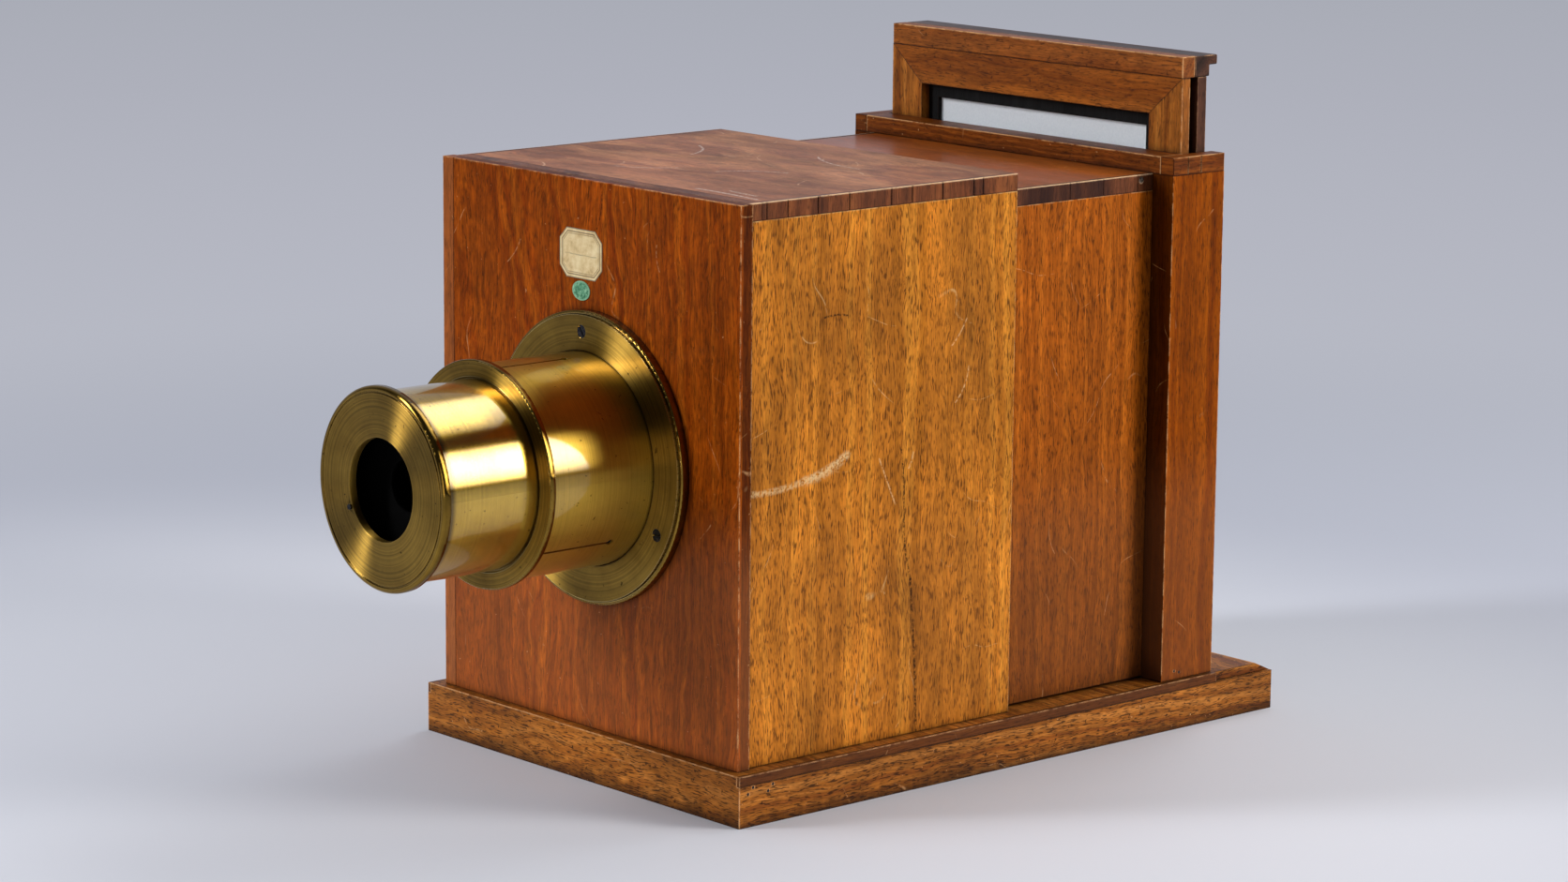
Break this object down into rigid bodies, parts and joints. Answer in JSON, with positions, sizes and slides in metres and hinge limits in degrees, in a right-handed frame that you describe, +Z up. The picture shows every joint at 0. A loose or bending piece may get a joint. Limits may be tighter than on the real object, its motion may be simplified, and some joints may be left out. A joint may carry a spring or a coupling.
{
  "type": "sliding-box camera",
  "caption": "Early wooden sliding-box camera with a brass lens tube, a lift-out ground-glass frame and a screw that clamps the focus.",
  "frame": {"origin": "middle of the underside of the base board", "axes": "+Z up, the lens looks towards -Y, +X is the side seen on the right when one faces the lens; drawn out for use with the ground-glass frame lifted"},
  "size_m": [0.269, 0.5443, 0.382],
  "materials": {
    "base_wood": "worn varnish",
    "edge_wood": "worn varnish",
    "front_wood": "old varnish",
    "front_edge_wood": "old varnish",
    "outer_wood": "old varnish",
    "outer_top_wood": "old varnish",
    "outer_edging": "old varnish",
    "inner_wood": "old varnish",
    "inner_top_wood": "old varnish",
    "inner_edging": "old varnish",
    "guide_wood": "old varnish",
    "guide_cap_wood": "old varnish",
    "frame_wood": "old varnish",
    "frame_dark_wood": "old varnish",
    "black_wood": "matt black paint",
    "tube_brass": "aged lacquer",
    "turned_brass": "turned and aged",
    "clamp_brass": "aged",
    "iron": "dulled",
    "black_metal": "matt black",
    "screen_glass": "ground on one face",
    "crown_glass": "polished",
    "flint_glass": "polished",
    "label_paper": "old paper",
    "seal_paper": "old paper"
  },
  "bodies": {
    "front_standard": {"base_board": "base_wood", "base_fillet_left": "edge_wood", "base_fillet_right": "edge_wood", "base_pins": "iron", "front_panel": "front_wood", "panel_edge_strip": "front_edge_wood", "outer_side_left": "outer_wood", "outer_side_right": "outer_wood", "outer_top_board": "outer_top_wood", "outer_top_banding": "outer_edging", "lens_flange": "turned_brass", "flange_screws": "iron", "lens_barrel": "tube_brass", "barrel_collar": "turned_brass", "paper_label": "label_paper", "green_seal": "seal_paper"},
    "rear_standard": {"inner_side_left": "inner_wood", "inner_side_right": "inner_wood", "inner_top_board": "inner_top_wood", "inner_top_banding": "inner_edging", "inner_floor": "base_wood", "top_screws": "iron", "guide_post_left": "guide_wood", "guide_post_right": "guide_wood", "guide_tongue_left": "guide_wood", "guide_tongue_right": "guide_wood", "guide_cap_front": "guide_cap_wood", "guide_cap_left": "guide_cap_wood", "guide_cap_right": "guide_cap_wood", "guide_sill": "base_wood", "post_pins": "iron", "clamp_plate": "clamp_brass", "clamp_plate_screws": "iron", "clamp_washer": "clamp_brass"},
    "clamp_screw": {"clamp_thumbscrew": "clamp_brass"},
    "clamp_block": {"clamp_nut": "clamp_brass"},
    "screen": {"screen_stile_left": "frame_wood", "screen_stile_right": "frame_wood", "screen_rail_top": "frame_wood", "screen_rail_bottom": "frame_wood", "screen_core": "frame_dark_wood", "screen_back_stile_left": "frame_dark_wood", "screen_back_stile_right": "frame_dark_wood", "screen_back_rail_top": "frame_dark_wood", "screen_back_rail_bottom": "frame_dark_wood", "screen_cap_front": "frame_wood", "screen_cap_rear": "frame_dark_wood", "screen_liner": "black_wood", "ground_glass": "screen_glass", "glazing_beads": "frame_dark_wood"},
    "lens_tube": {"front_tube": "tube_brass", "stop_plate": "turned_brass", "pivot_screw": "iron", "inner_diaphragm": "black_metal", "lens_cell": "turned_brass", "crown_element": "crown_glass", "flint_element": "flint_glass", "cell_ring": "turned_brass"}
  },
  "joints": [
    {"name": "focus_slide", "type": "slide", "parent": "front_standard", "child": "rear_standard", "axis": [0, 1, 0], "range_m": [-0.112, 0.016]},
    {"name": "screen_slide", "type": "slide", "parent": "rear_standard", "child": "screen", "axis": [0, 0, 1], "range_m": [-0.054, 0.2]},
    {"name": "lens_slide", "type": "slide", "parent": "front_standard", "child": "lens_tube", "axis": [0, -1, 0], "range_m": [-0.056, 0.012]},
    {"name": "clamp_turn", "type": "hinge", "parent": "rear_standard", "child": "clamp_screw", "pos_m": [0, 0.166, 0.0338], "axis": [0, 0, 1], "range_deg": [0, 360]},
    {"name": "clamp_nut_drop", "type": "slide", "parent": "rear_standard", "child": "clamp_block", "axis": [0, 0, -1], "range_m": [0, 0.001]}
  ],
  "couplings": [
    {"joint": "clamp_nut_drop", "follows": "clamp_turn", "m_per_rad": 0.00015915}
  ]
}
